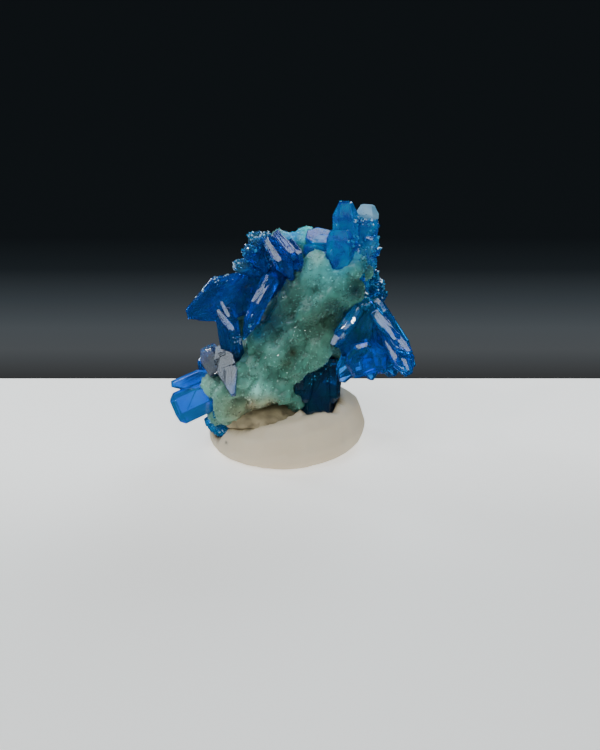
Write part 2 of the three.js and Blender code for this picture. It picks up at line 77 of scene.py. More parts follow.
DRUSE_COUNT = 8000
DRUSE_CLEARANCE = 0.16  # from the crystals
DRUSE_LIFT = 0.08  # of the glinting ones off the crust
LEAST_GRAIN = 0.04
GRAIN_SPREAD = 0.07  # how much larger the largest tiny crystals are
GRAIN_LEAN = 0.55  # how far they may lean off upright
GRAIN_SHADES = (0.6, 1.9)  # darker and lighter than the crust
FLAT_GRAIN = (0.024, 0.02)  # the least size of the glinting ones on the crust, and the spread
GLINT_SHARE = 0.1  # of the tiny crystals that face the light
GLINT_FROM = 0.3  # how much they have to face it
GLINT_LEAN = 0.04

JOIN_WITHIN = 0.01
FLAT_WITHIN = math.radians(3)  # faces that bend less than this are one face
KEEN_FROM = math.radians(20)  # edges that bend more than this are bevelled
LARGE_FACE = 0.9  # mm2, from here a face shows growth steps
STEP_EVERY = 0.5  # between growth steps
STEP_LENGTH = 3.5 * STEP_EVERY
STEP_SHARE = 0.7  # of the pieces of a face that are raised
STEP_HEIGHT = (0.02, 0.07)
STEP_TILT = 0.035  # how much a step's top may lean along its length
LEAST_STRIP = 0.12  # left at a face's end
EDGE_BEVEL = 0.03

ROCK_VOXEL = 0.08
PUTTY_VOXEL = 0.16
PUTTY_ROUNDS = 8
PUTTY_SWELL = 0.1
HUG_REACH = 0.9  # from which the putty closes up to the stone
HUG_GAP = 0.02
CONTACT_REACH = 0.8  # over which painted shade darkens the putty towards the stone
CREASE_REACH = 0.12  # over which that painted shade is darkest

CRYSTAL_NODES = [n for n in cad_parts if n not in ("mounting_putty", "matrix_rock", "green_crust")]


# The front view

UP_VIEW = Vector((0, math.sin(VIEW_ELEVATION), math.cos(VIEW_ELEVATION)))
TO_EYE = Vector((0, -math.cos(VIEW_ELEVATION), math.sin(VIEW_ELEVATION)))
AIM = Vector((VIEW_AIM[0], 0, 0)) + UP_VIEW * VIEW_AIM[1]
EYE = AIM + TO_EYE * VIEW_DISTANCE
SPARK_FROM = Vector((-0.6, -0.35, 0.75)).normalized()  # where the small bright light is
SPARKLE = (TO_EYE + SPARK_FROM).normalized()  # the way that a face looks when it mirrors that light


def on_view(points):
    """Where points, an array in mm, show on the view plane: arrays of x and rise."""
    rays = points - np.array(EYE)
    depth = -rays @ np.array(TO_EYE)
    spread = VIEW_DISTANCE / depth
    x = VIEW_AIM[0] + rays[:, 0] * spread
    rise = VIEW_AIM[1] + (rays @ np.array(UP_VIEW)) * spread
    return x, rise


def seen(x, rise, y):
    """The place in mm that shows at x and rise, at the true depth y."""
    on_plane = Vector((x, 0, 0)) + UP_VIEW * rise
    ray = on_plane - EYE
    return EYE + ray * ((y - EYE.y) / ray.y)


# Meshes

def cad_copy(node_name):
    """A CAD node's solid as a bmesh in mm, with its corners joined."""
    bm = bmesh.new()
    bm.from_mesh(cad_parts[node_name].data)
    bm.transform(Matrix.Scale(1 / MM, 4))
    bmesh.ops.remove_doubles(bm, verts=bm.verts, dist=1e-3)
    return bm


def object_in_mm(name, bm):
    mesh = bpy.data.meshes.new(name)
    bm.to_mesh(mesh)
    bm.free()
    obj = bpy.data.objects.new(name, mesh)
    bpy.context.scene.collection.objects.link(obj)
    return obj


def settled(obj):
    """The object with its modifiers made real."""
    graph = bpy.context.evaluated_depsgraph_get()
    mesh = bpy.data.meshes.new_from_object(obj.evaluated_get(graph))
    obj.modifiers.clear()
    obj.data = mesh
    return obj


def remeshed(obj, voxel, rounds=0):
    """The object's solids as one even mesh, smoothed a number of rounds."""
    remesh = obj.modifiers.new("remesh", "REMESH")
    remesh.mode = "VOXEL"
    remesh.voxel_size = voxel
    if rounds:
        smooth = obj.modifiers.new("smooth", "SMOOTH")
        smooth.factor = 0.5
        smooth.iterations = rounds
    return settled(obj)


def points_of(mesh):
    flat = np.empty(len(mesh.vertices) * 3, np.float32)
    mesh.vertices.foreach_get("co", flat)
    return flat.reshape(-1, 3).astype(float)


def normals_of(mesh):
    flat = np.empty(len(mesh.vertices) * 3, np.float32)
    mesh.vertex_normals.foreach_get("vector", flat)
    return flat.reshape(-1, 3).astype(float)


def move_points(mesh, points):
    mesh.vertices.foreach_set("co", points.astype(np.float32).ravel())
    mesh.update()


def as_piece(obj, material, slot, *nodes, smooth=True):
    """Puts a finished object, still in mm, into the frame and keeps it inside the CAD model's box."""
    low, high = (np.array(corner) / MM for corner in CAD_BOX)
    move_points(obj.data, np.clip(points_of(obj.data), low, high))
    obj.data.transform(Matrix.Scale(MM, 4))
    obj.data.materials.clear()
    obj.data.materials.append(material)
    if smooth:
        obj.data.shade_smooth()
    else:
        obj.data.shade_flat()
    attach(obj, "root")
    if nodes:
        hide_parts(*nodes)
    return obj


def domes(points, size, seed):
    """Rounded knobs of about this size, from 0 in the creases to 1 on top."""
    shift = Vector((seed * 7.3, seed * 3.1, seed * 5.7))
    near = [noise.voronoi(Vector(p) / size + shift)[0][0] for p in points]
    return 1 - np.clip(np.array(near), 0, 1) ** 2


def waves(points, size, seed):
    """Smooth noise of about this size, from -1 to 1."""
    shift = Vector((seed * 2.9, seed * 8.3, seed * 4.1))
    return np.array([noise.noise(Vector(p) / size + shift) for p in points])


def paint(mesh, colours):
    """Stores a colour at each of the mesh's points."""
    layer = mesh.color_attributes.new("tint", "FLOAT_COLOR", "POINT")
    full = np.ones((len(colours), 4), np.float32)
    full[:, :3] = colours
    layer.data.foreach_set("color", full.ravel())


def blend(under, over, share):
    """Colours laid over others, each with its share from 0 to 1."""
    share = np.clip(share, 0, 1)[:, None]
    return under * (1 - share) + np.array(over) * share


# Materials

def principled(name, **inputs):
    """A new material and its shader, with these inputs set."""
    material = bpy.data.materials.new(name)
    material.use_nodes = True
    shader = material.node_tree.nodes["Principled BSDF"]
    for key, value in inputs.items():
        is_colour = isinstance(value, tuple)
        shader.inputs[key.replace("_", " ")].default_value = (*value, 1) if is_colour else value
    return material, shader


def node(material, kind, **values):
    """A new node with these inputs or properties set."""
    made = material.node_tree.nodes.new(kind)
    for key, value in values.items():
        if key in made.inputs:
            made.inputs[key].default_value = value
        else:
            setattr(made, key, value)
    return made


def link(material, source, target):
    material.node_tree.links.new(source, target)


def tinted(material, shader):
    """Lets a material show the colours that are painted on the mesh."""
    tint = node(material, "ShaderNodeVertexColor", layer_name="tint")
    link(material, tint.outputs["Color"], shader.inputs["Base Color"])


def soften(shader, weight, radius, reach):
    """Lets light stray inside a material."""
    shader.inputs["Subsurface Weight"].default_value = weight
    shader.inputs["Subsurface Radius"].default_value = radius
    shader.inputs["Subsurface Scale"].default_value = reach


def crust_material(name, roughness, weight):
    material, shader = principled(name, Roughness=roughness, IOR=1.6)
    tinted(material, shader)
    soften(shader, weight, (0.5, 1.0, 0.9), MM)
    return material


def earthy_material(name, roughness, weight, reach):
    material, shader = principled(name, Roughness=roughness)
    tinted(material, shader)
    soften(shader, weight, (1.0, 0.8, 0.6), reach)
    return material


# Crystals

SMOOTH_NODES = ["lower_left_prism", "top_crystals"]  # with growth steps on the bright faces only
BRIGHT_WAY = Vector((-0.1, -0.7, 0.72)).normalized()  # the way that the bright faces look
BRIGHT_MATCH = 0.97


def place_of(face):
    """A face's middle, to put faces in the same order each run."""
    return tuple(round(c, 3) for c in face.calc_center_median())


def long_way(face):
    """The direction of a face's longest edge, the same way round each run."""
    corners = [loop.vert.co for loop in face.loops]
    sides = [b - a for a, b in zip(corners, corners[1:] + corners[:1])]
    along = [side if max(side, key=abs) > 0 else -side for side in sides]
    return max(along, key=lambda side: (round(side.length, 3), *(round(c, 3) for c in side))).normalized()


def mark_grain(bm):
    """Lays each face out in mm with its longest edge along u, for striations."""
    grain = bm.loops.layers.uv.new("grain")
    for face in bm.faces:
        along = long_way(face)
        across = face.normal.cross(along)
        for loop in face.loops:
            loop[grain].uv = (loop.vert.co.dot(along), loop.vert.co.dot(across))


def cut_across(bm, faces, direction, every, dice):
    """Cuts faces with planes across a direction, about this far apart: the pieces in a fixed order."""
    edges = dict.fromkeys(e for f in faces for e in f.edges)
    verts = dict.fromkeys(v for f in faces for v in f.verts)
    spans = [v.co.dot(direction) for v in verts]
    offset = min(spans) + every * dice.uniform(0.3, 0.9)
    geometry = [*faces, *edges, *verts]
    while offset < max(spans) - LEAST_STRIP:
        place = direction * offset
        cut = bmesh.ops.bisect_plane(bm, geom=geometry, dist=1e-4, plane_co=place, plane_no=direction)
        geometry = cut["geom"]
        offset += every * dice.uniform(0.5, 1.4)
    return sorted((g for g in geometry if isinstance(g, bmesh.types.BMFace)), key=place_of)


def raise_step(bm, face, along, normal, dice):
    """Lifts a piece of a face off it as a low step with a slightly leaning top."""
    top = bmesh.ops.extrude_discrete_faces(bm, faces=[face])["faces"][0]
    middle = top.calc_center_median()
    height = dice.uniform(*STEP_HEIGHT)
    lean = dice.uniform(-STEP_TILT, STEP_TILT)
    for vert in top.verts:
        rise = height + lean * (vert.co - middle).dot(along)
        vert.co += normal * max(rise, 0.3 * STEP_HEIGHT[0])
    return top


def grow_steps(bm, dice, chosen):
    """Breaks the chosen large faces up into low growth steps that run along them."""
    large = [f for f in bm.faces if f.calc_area() > LARGE_FACE and chosen(f)]
    for face in sorted(large, key=place_of):
        along = long_way(face)
        normal = face.normal.copy()
        strips = cut_across(bm, [face], normal.cross(along).normalized(), STEP_EVERY, dice)
        pieces = cut_across(bm, strips, along, STEP_LENGTH, dice)
        raised = set()
        for piece in pieces:
            beside = {f for e in piece.edges for f in e.link_faces}
            if not beside & raised and dice.random() < STEP_SHARE:
                raised.add(raise_step(bm, piece, along, normal, dice))


def bevel_edges(bm):
    """Takes the sharpness off the long edges."""
    long_edges = [e for e in bm.edges if e.is_manifold and e.calc_length() > 4 * EDGE_BEVEL]
    keen = [e for e in long_edges if e.calc_face_angle() > KEEN_FROM]
    bmesh.ops.bevel(
        bm, geom=keen, offset=EDGE_BEVEL, segments=1, profile=0.5, affect="EDGES", clamp_overlap=False
    )


def crystals(node_name, material, seed):
    """A CAD node's crystals with bevelled edges, growth steps and striations."""
    bm = cad_copy(node_name)
    bmesh.ops.remove_doubles(bm, verts=bm.verts, dist=JOIN_WITHIN)
    bmesh.ops.dissolve_degenerate(bm, edges=bm.edges, dist=JOIN_WITHIN / 2)
    bmesh.ops.dissolve_limit(bm, angle_limit=FLAT_WITHIN, verts=bm.verts, edges=bm.edges)
    bmesh.ops.connect_verts_concave(bm, faces=bm.faces)
    bevel_edges(bm)
    bm.normal_update()
    smooth = node_name in SMOOTH_NODES
    grow_steps(
        bm, random.Random(seed), lambda face: not smooth or face.normal.dot(BRIGHT_WAY) > BRIGHT_MATCH
    )
    bm.normal_update()
    mark_grain(bm)
    obj = object_in_mm("looks_" + node_name, bm)
    return as_piece(obj, material, "blue_crystal", node_name, smooth=False)


# Crystal materials

CLOUD_SCALE = 1100  # one drift in about 0.9 mm
CLOUD_EDGES = (0.35, 0.65)  # of the noise, where one colour ends and the other begins
WASH_CORE = 0.6  # of a wash's reach is all its own colour
STREAK_STRETCH = (0.35, 7)  # streaks in a mm along and across a face
PATCH_STRETCH = (0.7, 3.5)  # and patches
STREAK_STRENGTH = 0.06
BUMP_HEIGHT = 0.1 * MM
CRYSTAL_IOR = 1.68


def patches(material, grain, lean):
    """The height of a mosaic of long patches, each leaning its own way."""
    scale = node(material, "ShaderNodeMapping")
    scale.inputs["Scale"].default_value = (*PATCH_STRETCH, 1)
    cells = node(material, "ShaderNodeTexVoronoi", voronoi_dimensions="2D", Scale=1.0)
    local = node(material, "ShaderNodeVectorMath", operation="SUBTRACT")
    slope = node(material, "ShaderNodeVectorMath", operation="SUBTRACT")
    slope.inputs[1].default_value = (0.5, 0.5, 0.5)
    height = node(material, "ShaderNodeVectorMath", operation="DOT_PRODUCT")
    scaled = node(material, "ShaderNodeMath", operation="MULTIPLY")
    scaled.inputs[1].default_value = lean
    link(material, grain.outputs["UV"], scale.inputs["Vector"])
    link(material, scale.outputs["Vector"], cells.inputs["Vector"])
    link(material, scale.outputs["Vector"], local.inputs[0])
    link(material, cells.outputs["Position"], local.inputs[1])
    link(material, cells.outputs["Color"], slope.inputs[0])
    link(material, local.outputs["Vector"], height.inputs[0])
    link(material, slope.outputs["Vector"], height.inputs[1])
    link(material, height.outputs["Value"], scaled.inputs[0])
    return scaled.outputs["Value"]


def clouds(material, one, other):
    """Two colours that drift into each other inside the crystal."""
    where = node(material, "ShaderNodeTexCoord")
    drift = node(material, "ShaderNodeTexNoise", Scale=CLOUD_SCALE, Detail=3.0)
    sharpen = node(material, "ShaderNodeMapRange")
    sharpen.inputs["From Min"].default_value = CLOUD_EDGES[0]
    sharpen.inputs["From Max"].default_value = CLOUD_EDGES[1]
    mix = node(material, "ShaderNodeMix", data_type="RGBA")
    mix.inputs["A"].default_value = (*one, 1)
    mix.inputs["B"].default_value = (*other, 1)
    link(material, where.outputs["Object"], drift.inputs["Vector"])
    link(material, drift.outputs["Fac"], sharpen.inputs["Value"])
    link(material, sharpen.outputs["Result"], mix.inputs["Factor"])
    return mix.outputs["Result"]


def wash(material, under, middle, reach, colour):
    """The colour beneath, washed over with another within a reach in mm of a place."""
    where = node(material, "ShaderNodeTexCoord")
    away = node(material, "ShaderNodeVectorMath", operation="DISTANCE")
    away.inputs[1].default_value = middle * MM
    share = node(material, "ShaderNodeMapRange", interpolation_type="SMOOTHSTEP")
    share.inputs["From Min"].default_value = reach * MM
    share.inputs["From Max"].default_value = WASH_CORE * reach * MM
    mix = node(material, "ShaderNodeMix", data_type="RGBA")
    mix.inputs["B"].default_value = (*colour, 1)
    link(material, where.outputs["Object"], away.inputs[0])
    link(material, away.outputs["Value"], share.inputs["Value"])
    link(material, share.outputs["Result"], mix.inputs["Factor"])
    link(material, under, mix.inputs["A"])
    return mix.outputs["Result"]


def striations(material, lean):
    """The normals of faces with fine streaks and leaning patches that run along them."""
    grain = node(material, "ShaderNodeUVMap", uv_map="grain")
    stretch = node(material, "ShaderNodeMapping")
    stretch.inputs["Scale"].default_value = (*STREAK_STRETCH, 1)
    streaks = node(material, "ShaderNodeTexNoise", Scale=1.0, Detail=3.0)
    relief = node(material, "ShaderNodeMath", operation="ADD")
    bump = node(material, "ShaderNodeBump", Strength=1.0, Distance=BUMP_HEIGHT)
    weak = node(material, "ShaderNodeMath", operation="MULTIPLY")
    weak.inputs[1].default_value = STREAK_STRENGTH
    link(material, grain.outputs["UV"], stretch.inputs["Vector"])
    link(material, stretch.outputs["Vector"], streaks.inputs["Vector"])
    link(material, streaks.outputs["Fac"], weak.inputs[0])
    link(material, patches(material, grain, lean), relief.inputs[0])
    link(material, weak.outputs["Value"], relief.inputs[1])
    link(material, relief.outputs["Value"], bump.inputs["Height"])
    return bump.outputs["Normal"]


def crystal_material(name, colours, absorb, density, clearness, roughness=0.1, lean=1.0, washes=()):
    """See-through crystal: two clouded colours, washes over them, and what the inside absorbs."""
    material, shader = principled(name, Roughness=roughness, IOR=CRYSTAL_IOR)
    base = clouds(material, *colours)
    for middle, reach, colour in washes:
        base = wash(material, base, middle, reach, colour)
    link(material, base, shader.inputs["Base Color"])
    link(material, striations(material, lean), shader.inputs["Normal"])
    shader.inputs["Transmission Weight"].default_value = clearness
    inside = node(material, "ShaderNodeVolumeAbsorption", Color=(*absorb, 1), Density=density)
    output = material.node_tree.nodes["Material Output"]
    link(material, inside.outputs["Volume"], output.inputs["Volume"])
    return material


# Grains

def any_way(dice):
    return Vector((dice.uniform(-1, 1), dice.uniform(-1, 1), dice.uniform(-1, 1)))


def grain_size(dice):
    """Mostly small, seldom large."""
    return LEAST_GRAIN + GRAIN_SPREAD * dice.random() ** 2


def grain_place(spot, axis, dice):
    turn = axis.to_track_quat("Z", "X").to_matrix().to_4x4()
    return Matrix.Translation(spot) @ turn @ Matrix.Rotation(dice.uniform(0, math.pi), 4, "Z")


def pointed_grain(bm, place, size, dice):
    """One tiny crystal, a stretched octahedron."""
    long = size * dice.uniform(0.9, 1.5)
    corners = [(size, 0, 0), (0, size, 0), (-size, 0, 0), (0, -size, 0), (0, 0, long), (0, 0, -size * 0.6)]
    verts = [bm.verts.new(place @ Vector(c)) for c in corners]
    for a in range(4):
        b = (a + 1) % 4
        bm.faces.new((verts[a], verts[b], verts[4]))
        bm.faces.new((verts[b], verts[a], verts[5]))


def flat_grain(bm, place, size, dice):
    """One tiny crystal with a flat oblong top."""
    length = size * dice.uniform(1.0, 2.2)
    ring = [(-length, -size), (length, -size), (length, size), (-length, size)]
    low = [bm.verts.new(place @ Vector((x, y, -size))) for x, y in ring]
    high = [bm.verts.new(place @ Vector((x * 0.8, y * 0.8, size * 0.4))) for x, y in ring]
    bm.faces.new(high)
    bm.faces.new(low[::-1])
    for a in range(4):
        b = (a + 1) % 4
        bm.faces.new((low[a], low[b], high[b], high[a]))


# Sprouts: the tiny crystals on the rims of the large ones

SPROUT_TRIES = 60000
SPROUT_LEAN = 0.6
FROST_LEAN = 0.15
FROST_SIZE = 0.7  # of a pointed one's

# Where they crowd in the front view: x, rise, reach in mm, strength, size and the share that glint
SPROUT_ZONES = [
    (6.9, 17.6, 0.7, 0.3, 1.6, 0.03),  # the column along the right rim
    (7.2, 16.0, 0.7, 0.3, 1.6, 0.03),
    (6.9, 14.3, 0.7, 0.4, 1.6, 0.03),
    (6.3, 18.1, 0.45, 0.9, 1.0, 0.4),
    (5.6, 16.5, 0.5, 0.2, 1.4, 0.04),
    (7.8, 13.2, 0.8, 0.3, 1.5, 0.05),
    (-4.2, 14.6, 0.45, 0.8, 1.1, 0.7),  # the rim at the upper left
    (-3.5, 15.8, 0.4, 0.5, 1.3, 0.3),
    (-2.9, 16.9, 0.45, 0.8, 1.2, 0.5),
    (-1.8, 17.1, 0.5, 0.5, 1.2, 0.3),
    (-2.6, 15.4, 0.9, 0.14, 2.0, 0.03),
    (-1.5, 14.7, 0.5, 0.25, 0.9, 0.3),
    (-7.4, 11.8, 0.35, 0.5, 0.9, 0.6),  # the edge of the big plate
    (-6.6, 12.6, 0.35, 0.6, 0.9, 0.6),
    (-5.7, 13.2, 0.35, 0.6, 0.9, 0.6),
    (-4.8, 13.6, 0.35, 0.6, 0.9, 0.6),
    (-2.8, 9.2, 0.35, 0.6, 1.0, 0.3),
    (-3.8, 8.3, 0.35, 0.7, 1.2, 0.4),
    (-6.6, 7.6, 0.6, 0.4, 1.0, 0.3),
    (6.4, 12.2, 0.7, 0.3, 1.3, 0.1),  # the top of the fan
    (7.0, 11.3, 0.5, 0.3, 1.2, 0.1),
    (3.0, 5.6, 1.2, 0.1, 1.2, 0.05),
    (-5.4, 0.6, 0.6, 0.3, 1.2, 0.05),
]
BACK_SPROUTS = 0.01  # their chance on the side away from the viewer
PLAIN_SPROUTS = (0.0, 1.3, 0.15)  # chance, size and share that glint elsewhere


def skin(nodes):
    """The triangles of CAD nodes: an array of corners in mm."""
    corners = []
    for name in nodes:
        bm = cad_copy(name)
        bmesh.ops.triangulate(bm, faces=bm.faces)
        corners += [[v.co[:] for v in face.verts] for face in bm.faces]
        bm.free()
    return np.array(corners)


def strewn(corners, count, seed):
    """Random places on triangles, and the triangles' normals there."""
    generator = np.random.default_rng(seed)
    out = np.cross(corners[:, 1] - corners[:, 0], corners[:, 2] - corners[:, 0])
    area = np.linalg.norm(out, axis=1)
    chosen = generator.choice(len(corners), count, p=area / area.sum())
    share = generator.random((count, 2))
    share = np.where(share.sum(axis=1, keepdims=True) > 1, 1 - share, share)
    a, b, c = (corners[chosen, i] for i in range(3))
    points = a + (b - a) * share[:, :1] + (c - a) * share[:, 1:]
    return points, out[chosen] / area[chosen, None]


def crowding(points, normals):
    """The chance, the size and the share of glints of the sprouts at each place."""
    x, rise = on_view(points)
    local = np.tile(np.array(PLAIN_SPROUTS), (len(points), 1))
    for zone_x, zone_rise, reach, strength, size, glints in SPROUT_ZONES:
        away = np.hypot(x - zone_x, rise - zone_rise) / reach
        chance = strength * np.exp(-away ** 2)
        local[chance > local[:, 0], 1:] = (size, glints)
        local[:, 0] = np.maximum(local[:, 0], chance)
    local[normals @ np.array(TO_EYE) < -0.1, 0] = 0
    local[normals[:, 1] > 0.3, 0] = BACK_SPROUTS
    return local


def sprout_pieces(clear, frost_and_highlight):
    """The pointed sprouts as one piece, and the flat ones that glint as another, whose whitish colour is
    partly frosted and partly a painted highlight.
    """
    dice = random.Random(21)
    points, normals = strewn(skin(CRYSTAL_NODES), SPROUT_TRIES, 21)
    pointed = bmesh.new()
    flat = bmesh.new()
    for point, normal, (chance, scale, glints) in zip(points, normals, crowding(points, normals)):
        if dice.random() > chance:
            continue
        lean = any_way(dice)
        size = scale * grain_size(dice)
        if dice.random() < glints:
            place = grain_place(Vector(point), SPARKLE + lean * FROST_LEAN, dice)
            flat_grain(flat, place, FROST_SIZE * size, dice)
        else:
            place = grain_place(Vector(point), Vector(normal) + lean * SPROUT_LEAN, dice)
            pointed_grain(pointed, place, size, dice)
    as_piece(object_in_mm("sprouts", pointed), clear, "blue_crystal", smooth=False)
    as_piece(object_in_mm("frost_and_highlights", flat), frost_and_highlight, "blue_crystal", smooth=False)


# The second crystal's end from the top: the corner that it lies beyond, its shoulder and its shell, in mm
TIP_FROM = (5.3, 0, 18.6)
TIP_SHOULDER = 18.9
TIP_COLLAR = 0.35  # how far the shell reaches down below the shoulder
TIP_SHELL = 0.03


def pale_tip(material):
    """The frosted end of the second crystal from the top, drawn over it as a thin shell; its pale colour is
    partly frosted and partly painted light from behind.
    """
    bm = cad_copy("top_crystals")
    places = np.array([v.co[:] for v in bm.verts])
    bm.free()
    cap = places[(places > TIP_FROM).all(axis=1)]
    collar = cap[cap[:, 2] < TIP_SHOULDER] - (0, 0, TIP_COLLAR)
    end = np.concatenate([cap, collar])
    middle = end.mean(axis=0)
    bm = bmesh.new()
    for place in end:
        out = place - middle
        bm.verts.new(place + TIP_SHELL * out / np.linalg.norm(out))
    bmesh.ops.convex_hull(bm, input=bm.verts)
    return as_piece(object_in_mm("pale_tip", bm), material, "blue_crystal", smooth=False)


# The green crust

MINT = (0.07, 0.24, 0.185)
# the colour of the creases, partly the crust's own and partly painted shade
SHADED_HOLLOW = (0.02, 0.075, 0.06)
VEINS = 0.25  # their strength

# Knobs of crust over the crystals' roots: x and rise in the front view, true depth y and radius in mm
CRUST_LAPS = [
    (5.6, 14.8, -1.8, 0.55),
    (5.9, 14.2, -1.9, 0.55),
    (5.4, 14.1, -2.2, 0.75),
    (-3.7, 5.8, -3.0, 0.55),
    (-3.6, 5.1, -3.1, 0.6),
]

# Soft tints on the crust, as the front view shows them, some of them painted shade and painted light: x,
# rise, reach in mm, colour, strength
CRUST_TINTS = [
    (2.9, 13.9, 1.7, (0.10, 0.42, 0.42), 0.9),  # top lump
    (2.7, 15.1, 0.6, (0.30, 0.62, 0.55), 0.7),  # its pale cap, a painted highlight
    (4.5, 14.3, 0.9, (0.03, 0.36, 0.46), 0.9),  # cyan under the top prism
    (4.9, 12.4, 0.8, (0.04, 0.22, 0.20), 0.7),
    (2.2, 11.4, 1.0, (0.09, 0.34, 0.30), 0.8),  # turquoise knob
    (3.0, 9.6, 1.6, (0.035, 0.085, 0.055), 0.9),  # olive hollow, darkened with painted shade
    (3.9, 11.1, 0.7, (0.02, 0.08, 0.065), 0.85),  # shade between two lumps
    (0.0, 12.3, 1.6, (0.035, 0.11, 0.095), 0.9),
    (-1.1, 9.8, 1.5, (0.008, 0.06, 0.085), 0.95),  # teal shade beside the slanted blade
    (-2.2, 8.7, 0.7, (0.01, 0.1, 0.16), 0.8),
    (2.3, 7.7, 1.1, (0.10, 0.28, 0.21), 0.7),
    (-0.7, 7.2, 0.9, (0.14, 0.38, 0.32), 0.6),
    (0.6, 7.2, 0.5, (0.02, 0.035, 0.015), 0.95),  # painted shade in a crack
    # the crack's lower end, also painted shade
    (0.1, 6.3, 0.5, (0.035, 0.08, 0.04), 0.85),
    (0.4, 5.2, 0.9, (0.09, 0.24, 0.17), 0.4),
    (-3.3, 5.7, 1.2, (0.15, 0.38, 0.32), 0.5),
    (-2.2, 4.3, 1.0, (0.27, 0.68, 0.58), 0.9),  # bright round knob
    (-4.8, 2.6, 1.6, (0.19, 0.34, 0.23), 0.8),
    (-6.1, 4.6, 0.8, (0.25, 0.55, 0.45), 0.7),
    (1.8, 17.1, 0.9, (0.06, 0.75, 0.72), 1.0),  # mint patch at the top, partly mint and partly painted light from above
    (0.6, 17.0, 0.8, (0.01, 0.42, 0.9), 1.0),  # and its blue side
    (5.6, 15.6, 0.9, (0.01, 0.32, 0.6), 1.0),  # cyan at the foot of the column
    (6.6, 14.3, 0.6, (0.01, 0.12, 0.2), 0.9),
    (5.8, 12.3, 0.8, (0.00, 0.02, 0.035), 0.95),  # painted shade in a gap
    (2.3, 8.9, 0.9, (0.05, 0.15, 0.11), 0.6),
    (-1.4, 3.0, 0.7, (0.34, 0.3, 0.17), 0.75),  # brown seam over the rock
    (-2.7, 2.9, 0.8, (0.34, 0.3, 0.17), 0.8),
    (-3.9, 2.2, 0.8, (0.34, 0.34, 0.2), 0.6),
]


def crust_colours(points, relief):
    """Mint on the knobs and dark in the creases, which is painted shade, with the soft tints and fine veins
    over that; the knobs are also made lighter as painted light.
    """
    x, rise = on_view(points)
    colours = np.tile(np.array(SHADED_HOLLOW), (len(points), 1))
    colours = blend(colours, MINT, 0.2 + 0.9 * relief)
    for tint_x, tint_rise, reach, colour, strength in CRUST_TINTS:
        away = np.hypot(x - tint_x, rise - tint_rise) / reach
        colours = blend(colours, colour, strength * np.exp(-away ** 2))
    veins = VEINS * waves(points, 0.3, 4) + VEINS * waves(points, 0.9, 5)
    # painted light and shade: lighter on the knobs, darker in the creases
    return colours * (0.8 + 0.35 * relief + veins)[:, None]


def crust_piece():
    """The crust, swollen up to the crystals, with round knobs and fine grit."""
    bm = cad_copy("green_crust")
    for x, rise, y, radius in CRUST_LAPS:
        place = Matrix.Translation(seen(x, rise, y))
        bmesh.ops.create_icosphere(bm, subdivisions=3, radius=radius, matrix=place)
    obj = remeshed(object_in_mm("druse_crust", bm), CRUST_VOXEL, CRUST_ROUNDS)
    points = points_of(obj.data)
    normals = normals_of(obj.data)
    knobs = domes(points, KNOB_SIZE, 1)
    grit = domes(points, GRIT_SIZE, 2)
    lift = CRUST_SWELL + KNOB_HEIGHT * (knobs - 0.6) + GRIT_HEIGHT * (grit - 0.5)
    points = points + normals * lift[:, None]
    move_points(obj.data, points)
    relief = np.clip(0.75 * knobs + 0.25 * grit, 0, 1)
    paint(obj.data, crust_colours(points, relief))
    return obj


def open_spots(crust, trees, count, dice):
    """Places and outward directions on the crust that keep clear of the crystals' sockets."""
    points = points_of(crust.data)
    normals = normals_of(crust.data)
    order = list(range(len(points)))
    dice.shuffle(order)
    spots = []
    for index in order:
        if len(spots) == count:
            break
        spot = Vector(points[index])
        if all(tree.find_nearest(spot, DRUSE_CLEARANCE)[0] is None for tree in trees):
            spots.append((spot, Vector(normals[index])))
    return spots


def druse_piece(crust, trees):
    """Thousands of tiny crystals strewn over the open parts of the crust, some of them turned to glint."""
    dice = random.Random(11)
    bm = bmesh.new()
    shades = []
    for spot, normal in open_spots(crust, trees, DRUSE_COUNT, dice):
        lean = any_way(dice)
        size = grain_size(dice)
        if normal.dot(SPARKLE) > GLINT_FROM and dice.random() < GLINT_SHARE:
            place = grain_place(spot + normal * DRUSE_LIFT, SPARKLE + lean * GLINT_LEAN, dice)
            flat_grain(bm, place, FLAT_GRAIN[0] + FLAT_GRAIN[1] * dice.random(), dice)
        else:
            pointed_grain(bm, grain_place(spot, normal + lean * GRAIN_LEAN, dice), size, dice)
        shades += [dice.uniform(*GRAIN_SHADES)] * (len(bm.verts) - len(shades))
    obj = object_in_mm("druse_grains", bm)
    places = points_of(obj.data)
    # the crust's colours, painted shade and light included, lighter or darker at random per grain
    colours = crust_colours(places, np.full(len(places), 0.9)) * np.array(shades)[:, None] + 0.02
    paint(obj.data, np.clip(colours, 0, 1))
    return obj


# Rock and putty

ROCK_BROWN = (0.24, 0.2, 0.12)
ROCK_OCHRE = (0.48, 0.4, 0.25)
ROCK_STAIN = (0.05, 0.03, 0.02)
ROCK_GREENISH = (0.3, 0.37, 0.25)
# painted shade of a small pit
ROCK_PIT_SHADE = (0.015, 0.01, 0.01)
PUTTY_PALE = (0.71, 0.62, 0.47)
PUTTY_DULL = (0.66, 0.55, 0.4)
# painted shade where the putty meets the stone, darkest in the crease beside it
PUTTY_CONTACT_SHADE = (0.3, 0.22, 0.1)
PUTTY_CREASE_SHADE = (0.14, 0.1, 0.045)
PUTTY_SPECK = (0.04, 0.035, 0.03)


def soft_spot(x, rise, middle, softness):
    """The share of a soft dark spot in the front view."""
    return np.exp(-((x - middle[0]) ** 2 + (rise - middle[1]) ** 2) / softness)


